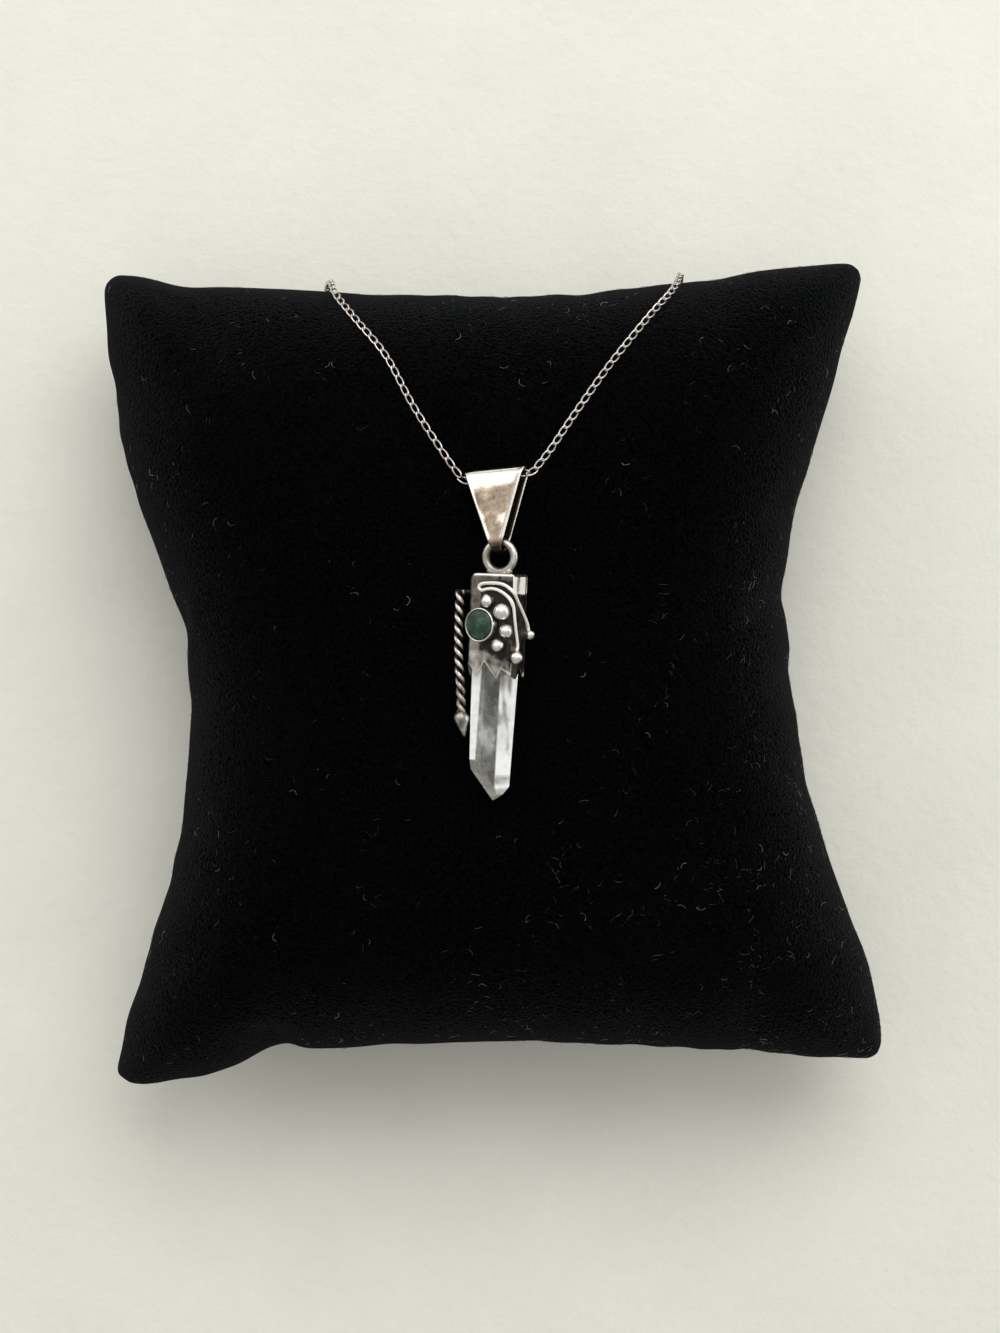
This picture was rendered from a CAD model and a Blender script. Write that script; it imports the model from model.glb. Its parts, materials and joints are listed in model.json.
"""A crystal point pendant on a fine curb chain, laid on a small black velvet display pillow.

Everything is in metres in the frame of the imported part: +Z up, +Y towards the pillow's top
edge. The pendant's own sizes are in millimetres, in its own frame, with the cap's top at the
origin, the point towards -Y and the front towards +Z, and are laid on the pillow together.
"""

import json
import math

import bmesh
import bpy
import numpy as np
from mathutils import Matrix, Vector, noise

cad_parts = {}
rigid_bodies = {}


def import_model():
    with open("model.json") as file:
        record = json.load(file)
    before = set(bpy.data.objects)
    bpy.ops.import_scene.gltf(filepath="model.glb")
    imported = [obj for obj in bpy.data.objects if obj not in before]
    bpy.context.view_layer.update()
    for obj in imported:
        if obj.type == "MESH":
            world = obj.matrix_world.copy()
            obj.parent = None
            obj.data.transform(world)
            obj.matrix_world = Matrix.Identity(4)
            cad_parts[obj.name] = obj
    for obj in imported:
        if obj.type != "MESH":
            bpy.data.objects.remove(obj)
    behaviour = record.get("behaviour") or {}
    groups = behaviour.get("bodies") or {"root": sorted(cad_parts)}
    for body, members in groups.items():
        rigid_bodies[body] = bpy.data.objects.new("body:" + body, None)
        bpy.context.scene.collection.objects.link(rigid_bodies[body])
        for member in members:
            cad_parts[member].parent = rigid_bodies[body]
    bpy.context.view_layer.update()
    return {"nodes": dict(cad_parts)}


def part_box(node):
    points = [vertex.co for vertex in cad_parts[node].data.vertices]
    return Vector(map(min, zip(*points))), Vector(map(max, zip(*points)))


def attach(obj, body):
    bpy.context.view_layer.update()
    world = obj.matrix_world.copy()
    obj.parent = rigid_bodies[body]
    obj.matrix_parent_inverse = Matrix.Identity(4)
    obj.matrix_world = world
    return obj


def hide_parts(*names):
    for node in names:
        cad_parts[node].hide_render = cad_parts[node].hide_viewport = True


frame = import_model()

MM = 0.001

# Sizes as in the part, in millimetres and degrees
PILLOW_W = 126.6
PILLOW_L = 133.2
PILLOW_H = 41
SEAM_Z = 20
CORNER_DROOP = 3
PILLOW_PRESS = 1
PENDANT_AT = (0.9, 15.1, 45.92)
PENDANT_ROLL = 24
PENDANT_PITCH = 2.5
PENDANT_LEAN = 2
CAP_W = 7.1
CAP_D = 5.95
CAP_H = 13.2
TOOTH_L = 2.5
CAP_WALL = 0.4
CAP_EDGE_R = 0.7
SHOULDER_R = 1.2
RING_WIRE = 1.25
RING_R = 2.225
RING_Y = 2.5125
RING_TURN = 5
BAIL_DIP = 11
BAIL_LEAN = 1.75
BAIL_W = 10.1
BAIL_FOOT_W = 2.5
BAIL_NECK_W = 1.1
BAIL_H = 12.8
BAIL_SHEET = 0.45
BAIL_ROOM = 2.0
BAIL_LOW = -1.6375
BAIL_SLIDE = 0.3
BAIL_SKEW = 0.062
CRYSTAL_REACH = 34.2
STONE_D = 4.4
STONE_DOME = 0.6
STONE_GAP = 0.1
BEZEL_WALL = 0.25
BEZEL_H = 0.8
BEZEL_TILT = 10
SEAT_Z = 0.4
HAIRPIN_WIRE = 0.55
OUTER_BALL_D = 1.5
INNER_BALL_D = 2.0
TWIST_WIRE = 0.8
TWIST_PITCH = 3.3
TWIST_L = 18.5
DROP_D = 2.4
DROP_L = 2.3
TWIST_BOW = 0.3
TWIST_STEPS = 22
CAP_TOP_ROUND = 0.28

# Small helpers


def catmull(a, b, c, d, u):
    return b + 0.5 * u * (c - a + u * (2 * a - 5 * b + 4 * c - d + u * (3 * (b - c) + d - a)))


def smooth_path(points, steps):
    """A smooth curve through the points, as a list of vectors."""
    points = [Vector(p) for p in points]
    last = len(points) - 1
    pick = lambda i: points[max(0, min(i, last))]
    path = [
        catmull(pick(i - 1), pick(i), pick(i + 1), pick(i + 2), j / steps)
        for i in range(last)
        for j in range(steps)
    ]
    return path + [points[-1]]


def ramp(value, low, high):
    """0 below low, 1 above high, eased in between; works on numbers and arrays."""
    share = np.clip((value - low) / (high - low), 0, 1)
    return share * share * (3 - 2 * share)


def turning(axis, degrees):
    return Matrix.Rotation(math.radians(degrees), 4, axis)


def laid(place, roll, pitch, turn):
    """The frame of a piece that is rolled, pitched and turned, then put in its place."""
    return Matrix.Translation(place) @ turning("Z", turn) @ turning("X", pitch) @ turning("Y", roll)


TO_METRES = Matrix.Scale(MM, 4)
ON_PENDANT = laid(PENDANT_AT, -PENDANT_ROLL, PENDANT_PITCH, -PENDANT_LEAN)
BAIL_AT = ON_PENDANT @ Vector((-BAIL_SLIDE, RING_Y + RING_R, 0))
ON_BAIL = laid(BAIL_AT, -PENDANT_ROLL, -BAIL_DIP, BAIL_LEAN)


class Mesh:
    """Points, faces and one tarnish value a point, collected before the piece is made."""

    def __init__(self):
        self.points = []
        self.faces = []
        self.tarnish = []

    def add(self, points, faces, tarnish=0.0):
        """Adds a part; tarnish is a number, or a function of a point."""
        start = len(self.points)
        self.points += [Vector(p) for p in points]
        self.faces += [[start + i for i in f] for f in faces]
        value = tarnish if callable(tarnish) else lambda p: tarnish
        self.tarnish += [float(value(Vector(p))) for p in points]

    def rings(self, rings, tarnish=0.0, closed=False):
        """A skin over rings of equally many points, closed end to end or else capped."""
        around = len(rings[0])
        points = [p for ring in rings for p in ring]
        faces = []
        for i in range(len(rings) if closed else len(rings) - 1):
            low, high = i * around, (i + 1) % len(rings) * around
            for k in range(around):
                n = (k + 1) % around
                faces.append([low + k, low + n, high + n, high + k])
        if not closed:
            last = (len(rings) - 1) * around
            faces.append(list(range(around))[::-1])
            faces.append([last + k for k in range(around)])
        self.add(points, faces, tarnish)

    def tube(self, path, wire, sides=12, tarnish=0.0):
        """A round wire along a path."""
        path = [Vector(p) for p in path]
        last = len(path) - 1
        heading = lambda i: (path[min(i + 1, last)] - path[max(i - 1, 0)]).normalized()
        across = Vector((0, 0, 1))
        if abs(heading(0).z) > 0.9:
            across = Vector((1, 0, 0))
        rings = []
        for i, place in enumerate(path):
            along = heading(i)
            across = (across - across.dot(along) * along).normalized()
            beside = along.cross(across)
            rings.append([
                place + wire / 2 * (math.cos(a) * across + math.sin(a) * beside)
                for a in (math.tau * k / sides for k in range(sides))
            ])
        self.rings(rings, tarnish)

    def lathe(self, profile, steps, place=Matrix.Identity(4), tarnish=0.0):
        """A profile of (radius, height) turned about the local Z axis; ends on the axis close."""
        rings, points, faces = [], [], []
        for radius, height in profile:
            if radius < 1e-6:
                rings.append([len(points)])
                points.append(Vector((0, 0, height)))
                continue
            rings.append(list(range(len(points), len(points) + steps)))
            points += [
                Vector((radius * math.cos(a), radius * math.sin(a), height))
                for a in (math.tau * k / steps for k in range(steps))
            ]
        for low, high in zip(rings, rings[1:]):
            for k in range(steps):
                n = (k + 1) % steps
                face = [low[k % len(low)], low[n % len(low)], high[n % len(high)], high[k % len(high)]]
                face = list(dict.fromkeys(face))
                if len(face) > 2:
                    faces.append(face)
        self.add([place @ p for p in points], faces, tarnish)

    def ball(self, centre, diameter, tarnish=0.0, squash=(1, 1, 1), detail=3, lumps=0.0):
        """A ball, pressed flatter by squash and made a little uneven by lumps."""
        ball = bmesh.new()
        bmesh.ops.create_icosphere(ball, subdivisions=detail, radius=diameter / 2)
        uneven = lambda v: 1 + lumps * 2 * noise.noise(v * 2.2 / diameter + Vector(centre))
        points = [Vector(centre) + v.co * uneven(v.co) * Vector(squash) for v in ball.verts]
        ball.verts.index_update()
        faces = [[v.index for v in f.verts] for f in ball.faces]
        ball.free()
        self.add(points, faces, tarnish)


def shade_smooth(mesh, smooth=True):
    mesh.polygons.foreach_set("use_smooth", [smooth] * len(mesh.polygons))


def piece(name, mesh, place=Matrix.Identity(4)):
    """Makes an object at the origin, with its place in its mesh and its faces outwards."""
    made = bpy.data.meshes.new(name)
    made.from_pydata([place @ p for p in mesh.points], [], mesh.faces)
    made.validate()
    turned = bmesh.new()
    turned.from_mesh(made)
    bmesh.ops.recalc_face_normals(turned, faces=turned.faces)
    turned.to_mesh(made)
    turned.free()
    if len(mesh.tarnish) == len(made.vertices):
        worn = made.attributes.new("tarnish", "FLOAT", "POINT")
        worn.data.foreach_set("value", np.array(mesh.tarnish, np.float32))
    shade_smooth(made)
    thing = bpy.data.objects.new(name, made)
    bpy.context.scene.collection.objects.link(thing)
    return thing


def baked(thing):
    """Turns what the modifiers make of a piece into its plain mesh."""
    shown = bpy.context.evaluated_depsgraph_get()
    made = bpy.data.meshes.new_from_object(thing.evaluated_get(shown))
    thing.modifiers.clear()
    thing.data = made
    return thing


def hand_over(thing, slot, *nodes):
    """Puts a finished piece on the part's one body, in place of its nodes."""
    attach(thing, "root")
    if nodes:
        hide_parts(*nodes)
    return thing


def wired(tree, kind, inputs, settings):
    """A new node with its settings, and its inputs linked to sockets or set to values."""
    made = tree.nodes.new(kind)
    for key, value in settings.items():
        setattr(made, key, value)
    for key, value in (inputs or {}).items():
        if isinstance(value, bpy.types.NodeSocket):
            tree.links.new(value, made.inputs[key])
        else:
            made.inputs[key].default_value = value
    return made


def dressed(name, mesh, place, material, slot, node):
    """A piece with its material, handed over in place of its node."""
    thing = piece(name, mesh, place)
    thing.data.materials.append(material)
    return hand_over(thing, slot, node)


# Materials


class Finish:
    """A material made of nodes round one shader, with its constants on the shader itself."""

    def __init__(self, name, colour, **constants):
        self.material = bpy.data.materials.new(name)
        self.material.use_nodes = True
        self.tree = self.material.node_tree
        self.shader = self.tree.nodes["Principled BSDF"]
        self.set("Base Color", (*colour, 1))
        for socket, value in constants.items():
            self.set(socket.replace("_", " "), value)
        self.coords = self.node("ShaderNodeTexCoord").outputs["Object"]

    def set(self, socket, value):
        names = {s.name.lower(): s for s in self.shader.inputs}
        names[socket.lower()].default_value = value

    def node(self, kind, inputs=None, **settings):
        return wired(self.tree, kind, inputs, settings)

    def link(self, source, socket):
        self.tree.links.new(source, self.shader.inputs[socket])

    def noise(self, grain, detail=3, rough=0.5, coords=None):
        """Noise whose grain is in millimetres."""
        inputs = {"Vector": coords or self.coords, "Scale": 1 / (grain * MM), "Detail": detail,
                  "Roughness": rough}
        return self.node("ShaderNodeTexNoise", inputs).outputs["Fac"]

    def spread(self, value, low, high, to_low=0.0, to_high=1.0):
        """Maps low..high to to_low..to_high, clamped."""
        inputs = {"Value": value, "From Min": low, "From Max": high, "To Min": to_low,
                  "To Max": to_high}
        return self.node("ShaderNodeMapRange", inputs).outputs["Result"]

    def sum(self, a, b):
        """The sum of two values, clamped to 0..1."""
        return self.node("ShaderNodeMath", {0: a, 1: b}, use_clamp=True).outputs[0]

    def mix(self, share, a, b):
        """Mixes two colours, given as numbers or as sockets."""
        full = lambda c: c if isinstance(c, bpy.types.NodeSocket) else (*c, 1)
        factor, first, second, result = 0, 6, 7, 2
        inputs = {factor: share, first: full(a), second: full(b)}
        return self.node("ShaderNodeMix", inputs, data_type="RGBA").outputs[result]

    def bump(self, height, depth, strength=1.0):
        """Bump with its depth in millimetres."""
        inputs = {"Height": height, "Distance": depth * MM, "Strength": strength}
        made = self.node("ShaderNodeBump", inputs)
        if self.shader.inputs["Normal"].is_linked:
            before = self.shader.inputs["Normal"].links[0].from_socket
            self.tree.links.new(before, made.inputs["Normal"])
        self.link(made.outputs["Normal"], "Normal")


def velvet():
    cloth = Finish("black velvet", (0.0012, 0.0012, 0.0013), roughness=1.0, specular_ior_level=0.0,
                   sheen_weight=0.06, sheen_roughness=0.36, sheen_tint=(0.93, 0.95, 1.0, 1))
    brushed = cloth.spread(cloth.noise(17, 2), 0.35, 0.65)
    pile = cloth.spread(cloth.noise(0.5, 3, 0.75), 0.42, 0.66)
    deep = cloth.mix(brushed, (0.0002, 0.0002, 0.0002), (0.0006, 0.0007, 0.0008))
    cloth.link(cloth.mix(pile, deep, (0.0024, 0.0027, 0.0029)), "Base Color")
    cloth.bump(brushed, 0.2, 0.5)
    cloth.bump(pile, 0.16, 0.9)
    return cloth.material


def lint():
    fibre = Finish("pale lint", (0.3, 0.31, 0.31), roughness=0.9, specular_ior_level=0.1)
    shade = fibre.spread(fibre.noise(3, 1), 0.35, 0.65)
    fibre.link(fibre.mix(shade, (0.02, 0.023, 0.026), (0.3, 0.31, 0.3)), "Base Color")
    return fibre.material


def silver(name, bright, dull, dark, worn_grain, gloss=(0.16, 0.5)):
    """Polished silver where the tarnish attribute is 0, dull at 0.5, dark oxide at 1, and a
    brushed white at -1."""
    metal = Finish(name, bright, metallic=1.0, roughness=gloss[0])
    tarnish = metal.node("ShaderNodeAttribute", attribute_name="tarnish").outputs["Fac"]
    blotch = metal.spread(metal.noise(worn_grain, 4, 0.6), 0.3, 0.75, -0.14, 0.16)
    share = metal.sum(tarnish, blotch)
    worn = metal.mix(metal.spread(share, 0, 0.5), bright, dull)
    metal.link(metal.mix(metal.spread(share, 0.5, 1), worn, dark), "Base Color")
    brushed = metal.spread(tarnish, -1, 0, 1, 0)
    metal.link(metal.sum(metal.spread(share, 0.0, 1.0, *gloss), brushed), "Roughness")
    metal.link(metal.spread(brushed, 0, 1, 1, 0.15), "Metallic")
    metal.bump(metal.noise(0.35, 3, 0.6), 0.012, 0.6)
    return metal.material


def quartz():
    """Clear quartz, clouded where the milk attribute says so and stained where stain does."""
    stone = Finish("clear quartz", (0.97, 0.98, 0.985), roughness=0.02, ior=1.544,
                   transmission_weight=1.0)
    milk = stone.node("ShaderNodeAttribute", attribute_name="milk").outputs["Fac"]
    stain = stone.node("ShaderNodeAttribute", attribute_name="stain").outputs["Fac"]
    cloud = stone.spread(stone.noise(1.6, 5, 0.62), 0.35, 0.7, -0.12, 0.12)
    veiled = stone.sum(milk, cloud)
    stone.link(stone.spread(veiled, 0, 1, 1.0, 0.04), "Transmission Weight")
    pale = stone.mix(veiled, (0.97, 0.98, 0.985), (0.95, 0.965, 0.97))
    stone.link(stone.mix(stain, pale, (0.3, 0.26, 0.19)), "Base Color")
    stone.link(stone.spread(stone.noise(1.1, 3), 0.4, 0.7, 0.01, 0.07), "Roughness")
    return stone.material


def green_mineral():
    stone = Finish("green stone", (0.02, 0.12, 0.05), roughness=0.38, specular_ior_level=0.3,
                   coat_weight=0.12, coat_roughness=0.15)
    grain = stone.spread(stone.noise(0.45, 6, 0.75), 0.38, 0.66)
    band = stone.spread(stone.noise(1.5, 3, 0.5), 0.44, 0.56)
    base = stone.mix(grain, (0.01, 0.036, 0.02), (0.048, 0.118, 0.07))
    stone.link(stone.mix(band, base, (0.014, 0.032, 0.022)), "Base Color")
    stone.bump(stone.noise(0.3, 3), 0.01, 0.5)
    return stone.material


def paper():
    sheet = Finish("pale paper", (0.8, 0.8, 0.75), roughness=0.85, specular_ior_level=0.2)
    fibre = sheet.noise(2.6, 5, 0.62)
    cloudy = sheet.spread(sheet.noise(24, 3, 0.55), 0.35, 0.65)
    tone = sheet.mix(cloudy, (0.735, 0.73, 0.675), (0.785, 0.78, 0.72))
    sheet.link(sheet.mix(sheet.spread(fibre, 0.35, 0.7), tone, (0.76, 0.755, 0.7)), "Base Color")
    sheet.bump(fibre, 0.35, 0.5)
    return sheet.material


# Pillow: outline as in the part, how far along the edge, then the two edges as shares of
# half the width and half the length
SIDE_EDGES = [
    (-1.00, -0.970, 1.000), (-0.75, -0.911, 0.955), (-0.50, -0.829, 0.858),
    (-0.25, -0.783, 0.788), (0.00, -0.778, 0.755), (0.25, -0.839, 0.746),
    (0.50, -0.927, 0.807), (0.75, -0.978, 0.885), (1.00, -1.000, 0.947),
]
END_EDGES = [
    (-1.00, -1.000, 0.975), (-0.75, -0.975, 0.944), (-0.50, -0.915, 0.930),
    (-0.25, -0.899, 0.918), (0.00, -0.890, 0.914), (0.25, -0.897, 0.919),
    (0.50, -0.908, 0.946), (0.75, -0.926, 0.981), (1.00, -0.940, 1.000),
]
FILL_ACROSS = 4.5
FILL_ALONG = 5

# Soft valleys in the pillow: from a place on the seam to one further in, as shares across and
# along it, then depth and width in millimetres
VALLEYS = [
    (-0.80, 1.00, -0.60, 0.62, 1.5, 4.0), (-1.00, 0.72, -0.72, 0.60, 1.1, 3.5),
    (-0.93, 0.97, -0.72, 0.74, -0.7, 4.0), (0.62, 1.00, 0.68, 0.66, 1.2, 4.0),
    (1.00, 0.80, 0.76, 0.64, 1.0, 3.5), (0.94, 0.96, 0.76, 0.76, -0.6, 4.0),
    (-0.60, -1.00, -0.66, -0.64, 1.8, 4.5), (-1.00, -0.74, -0.74, -0.64, 1.3, 3.5),
    (-0.93, -0.95, -0.74, -0.76, -0.8, 4.0), (-0.28, -1.00, -0.36, -0.82, 0.7, 3.0),
    (0.64, -1.00, 0.68, -0.68, 1.3, 4.0), (1.00, -0.66, 0.76, -0.60, 1.0, 3.5),
    (1.00, 0.17, 0.74, 0.10, 1.4, 2.6), (1.00, -0.03, 0.82, -0.06, 0.8, 2.4),
    (1.00, 0.40, 0.84, 0.35, 0.8, 2.6), (1.00, -0.30, 0.84, -0.26, 0.6, 2.6),
    (-1.00, 0.13, -0.92, 0.12, 2.6, 5.0), (-1.00, -0.05, -0.84, -0.07, 0.6, 2.4),
    (-0.61, -1.00, -0.62, -0.88, 4.4, 5.5), (-1.00, 0.30, -0.84, 0.26, 0.5, 2.8),
    (-1.00, -0.36, -0.82, -0.32, 0.9, 2.8), (-1.00, -0.52, -0.84, -0.47, 0.7, 2.6),
    (0.10, -1.00, 0.08, -0.86, 0.5, 3.0), (0.34, -1.00, 0.38, -0.84, 0.6, 3.0),
    (-0.30, 1.00, -0.32, 0.86, 0.4, 3.0), (0.10, 1.00, 0.12, 0.88, 0.5, 3.0),
]
PILLOW_CELLS = 84
CORNER_ROUND = 3.2
PUCKER = 0.17
SEAM_STIFF = 8
SWELL_KEPT = 0.25
FOLD_CAP = 1.5 * MM
CLOTH_FRAMES = 20


def edge_at(table, column, shares):
    """An edge of the pillow's outline at each share along it, smooth between the table's rows."""
    step = table[1][0] - table[0][0]
    values = []
    for v in shares:
        i = max(0, min(int((v + 1) / step), len(table) - 2))
        near = [table[max(0, min(i + k, len(table) - 1))][column] for k in (-1, 0, 1, 2)]
        values.append(catmull(*near, (v - table[i][0]) / step))
    return np.array(values)


def pillow_grid():
    """The pillow's points, without folds: shares across and along, upper and under sides."""
    # The cells get smaller towards the seam
    u = np.linspace(-1, 1, PILLOW_CELLS + 1)
    shares = 0.45 * u + 0.55 * np.sin(u * math.pi / 2)
    left, right = (edge_at(SIDE_EDGES, k, shares) * PILLOW_W / 2 for k in (1, 2))
    near, far = (edge_at(END_EDGES, k, shares) * PILLOW_L / 2 for k in (1, 2))
    s, t = np.meshgrid(shares, shares, indexing="ij")
    # The four corners of the outline are drawn in to a round
    corner = 2 * CORNER_ROUND / PILLOW_W
    a, b = (np.clip((np.abs(v) - 1 + corner) / corner, 0, 1) for v in (s, t))
    round_s = s - np.sign(s) * corner * a * (1 - np.sqrt(1 - b**2 / 2))
    round_t = t - np.sign(t) * corner * b * (1 - np.sqrt(1 - a**2 / 2))
    x = left[None, :] + (right - left)[None, :] * (round_s + 1) / 2
    y = near[:, None] + (far - near)[:, None] * (round_t + 1) / 2
    full = np.sqrt(np.clip(1 - np.abs(s) ** FILL_ACROSS, 0, 1))
    full *= np.sqrt(np.clip(1 - np.abs(t) ** FILL_ALONG, 0, 1))
    seam = SEAM_Z - CORNER_DROOP * (s * t) ** 4
    upper = np.stack([x, y, seam + (PILLOW_H - seam) * full], -1) * MM
    under = np.stack([x, y, np.maximum(0, seam - (seam + PILLOW_PRESS) * full)], -1) * MM
    return s, t, upper, under


def place_on(s, t, a, b):
    """The grid's point that is nearest to the shares a across and b along."""
    return np.argmin(np.abs(s[:, 0] - a)), np.argmin(np.abs(t[0] - b))


def fold(points, s, t, share):
    """Presses the valleys and the small puckers of the seam into one side of the pillow."""
    flat = points[..., :2]
    depth = np.zeros(s.shape)
    for a0, b0, a1, b1, deep, wide in VALLEYS:
        start, end = flat[place_on(s, t, a0, b0)], flat[place_on(s, t, a1, b1)]
        run = end - start
        along = np.clip(((flat - start) @ run) / (run @ run), 0, 1)
        off = np.linalg.norm(flat - start - along[..., None] * run, axis=-1)
        fade = 1 - ramp(along, 0.15, 1.0)
        depth += deep * MM * share * fade * np.exp(-(off / (wide * MM)) ** 2)
    inset = np.minimum((1 - np.abs(s)) * PILLOW_W / 2, (1 - np.abs(t)) * PILLOW_L / 2)
    depth *= 0.5 + 0.5 * ramp(inset, 0, SEAM_STIFF)
    # The sewn seam puckers unevenly round the pillow
    around = np.where(np.abs(s) > np.abs(t), points[..., 1], points[..., 0]) / MM
    wave = np.sin(around * 0.93 + 1.6 * np.sin(around * 0.17)) + 0.8 * np.sin(around * 0.41 + 2)
    swell = 0.45 + 0.55 * np.sin(around * 0.072 + np.sign(s + t))
    depth += PUCKER * MM * wave * swell * np.exp(-inset / 5)
    middle = np.array([0, 0, SEAM_Z]) * MM
    inwards = middle - points
    inwards[..., 2] *= 2.2
    inwards /= np.linalg.norm(inwards, axis=-1, keepdims=True)
    return points + inwards * depth[..., None]


def pillow_mesh():
    """The folded pillow as one closed grid, with the shares and side of each point."""
    s, t, upper, under = pillow_grid()
    seam = (np.abs(s) > 0.9999) | (np.abs(t) > 0.9999)
    upper = fold(upper, s, t, 1.0)
    under = fold(under, s, t, 0.8)
    under[seam] = upper[seam]
    under[..., 2] = np.maximum(under[..., 2], 0)
    n = PILLOW_CELLS + 1
    inner = np.flatnonzero(~seam.ravel())
    lower = np.arange(n * n)
    lower[inner] = n * n + np.arange(len(inner))
    points = np.concatenate([upper.reshape(-1, 3), under.reshape(-1, 3)[inner]])
    at = np.arange(n * n).reshape(n, n)
    top = np.stack([at[:-1, :-1], at[1:, :-1], at[1:, 1:], at[:-1, 1:]], -1).reshape(-1, 4)
    faces = [list(map(int, f)) for f in top]
    faces += [list(map(int, lower[f[::-1]])) for f in top]
    edge = np.concatenate([seam.ravel(), np.zeros(len(inner), bool)])
    away = np.minimum(1 - np.abs(s), 1 - np.abs(t)).ravel()
    away = np.concatenate([away, away[inner]])
    return points, faces, edge, away


def clear_of_jewel(points):
    """1 on the bare pillow, 0 under the chain and the pendant."""
    route = np.array(chain_path())
    spread = np.full(len(points), 1.0)
    for k in range(0, len(route), 4):
        spread = np.minimum(spread, np.linalg.norm(points - route[k], axis=1))
    low, high = (np.array(c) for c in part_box("cap_setting"))
    tip = np.array(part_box("crystal_point")[0])
    outside = np.maximum(0, np.maximum([low[0], tip[1]] - points[:, :2], points[:, :2] - high[:2]))
    on_top = points[:, 2] > SEAM_Z * MM
    spread = np.where(on_top, np.minimum(spread, np.linalg.norm(outside, axis=1)), spread)
    return ramp(spread, 1.2 * MM, 9 * MM)


def smoothed(values, faces, rounds):
    """Values averaged with their neighbours' again and again."""
    sides = np.concatenate([faces[:, [k, (k + 1) % 4]] for k in range(4)])
    edges = np.unique(np.sort(sides, axis=1), axis=0)
    count = np.bincount(edges.ravel(), minlength=len(values))[:, None]
    for _ in range(rounds):
        total = np.zeros_like(values)
        np.add.at(total, edges[:, 0], values[edges[:, 1]])
        np.add.at(total, edges[:, 1], values[edges[:, 0]])
        values = 0.5 * values + 0.5 * total / count
    return values


def settle(thing, faces, edge, away):
    """Lets the stuffing press the velvet out, which crumples it along the seam, then keeps
    most of the crumpling and little of the swelling."""
    start = np.array([v.co for v in thing.data.vertices])
    held = thing.vertex_groups.new(name="held")
    slack = thing.vertex_groups.new(name="slack")
    for i, (on_edge, far) in enumerate(zip(edge, away)):
        rests = start[i, 2] < 0.2 * MM
        held.add([i], 1.0 if on_edge or rests else 0.05, "REPLACE")
        slack.add([i], float(1 - ramp(far, 0.02, 0.34)), "REPLACE")
    cloth = thing.modifiers.new("cloth", "CLOTH")
    made = cloth.settings
    made.quality = 6
    made.mass = 0.15
    made.tension_stiffness = 8
    made.compression_stiffness = 8
    made.shear_stiffness = 4
    made.bending_stiffness = 0.02
    made.use_pressure = True
    made.uniform_pressure_force = 4
    made.vertex_group_mass = "held"
    made.vertex_group_shrink = "slack"
    made.shrink_min = 0.0
    made.shrink_max = -0.07
    made.effector_weights.gravity = 0
    cloth.collision_settings.use_collision = False
    scene = bpy.context.scene
    scene.frame_start, scene.frame_end = 1, CLOTH_FRAMES
    cloth.point_cache.frame_start, cloth.point_cache.frame_end = 1, CLOTH_FRAMES
    for number in range(1, CLOTH_FRAMES + 1):
        scene.frame_set(number)
    shown = thing.evaluated_get(bpy.context.evaluated_depsgraph_get())
    moved = np.array([v.co for v in shown.data.vertices]) - start
    thing.modifiers.clear()
    scene.frame_set(1)
    thing.vertex_groups.clear()
    broad = smoothed(moved, faces, 40)
    moved = moved - (1 - SWELL_KEPT) * broad
    size = np.linalg.norm(moved, axis=1, keepdims=True)
    moved *= FOLD_CAP / np.maximum(size, FOLD_CAP)
    moved *= clear_of_jewel(start)[:, None]
    ended = start + moved
    ended[:, 2] = np.maximum(ended[:, 2], 0)
    thing.data.vertices.foreach_set("co", ended.astype(np.float32).ravel())
    thing.data.update()


def make_pillow():
    """The stuffed pillow, with a crisp seam and the rest subdivided smooth."""
    points, faces, edge, away = pillow_mesh()
    shell = Mesh()
    shell.add(points, faces)
    pillow = piece("velvet_pillow", shell)
    settle(pillow, np.array(faces), edge, away)
    creased = pillow.data.attributes.new("crease_edge", "FLOAT", "EDGE")
    on_seam = [0.9 if edge[a] and edge[b] else 0.0 for a, b in pillow.data.edge_keys]
    creased.data.foreach_set("value", on_seam)
    rounded = pillow.modifiers.new("rounded", "SUBSURF")
    rounded.levels = rounded.render_levels = 1
    baked(pillow)
    shade_smooth(pillow.data)
    pillow.data.materials.clear()
    pillow.data.materials.append(velvet())
    hand_over(pillow, "black_velvet", "display_pillow")
    return pillow


# Geometry Nodes


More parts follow.
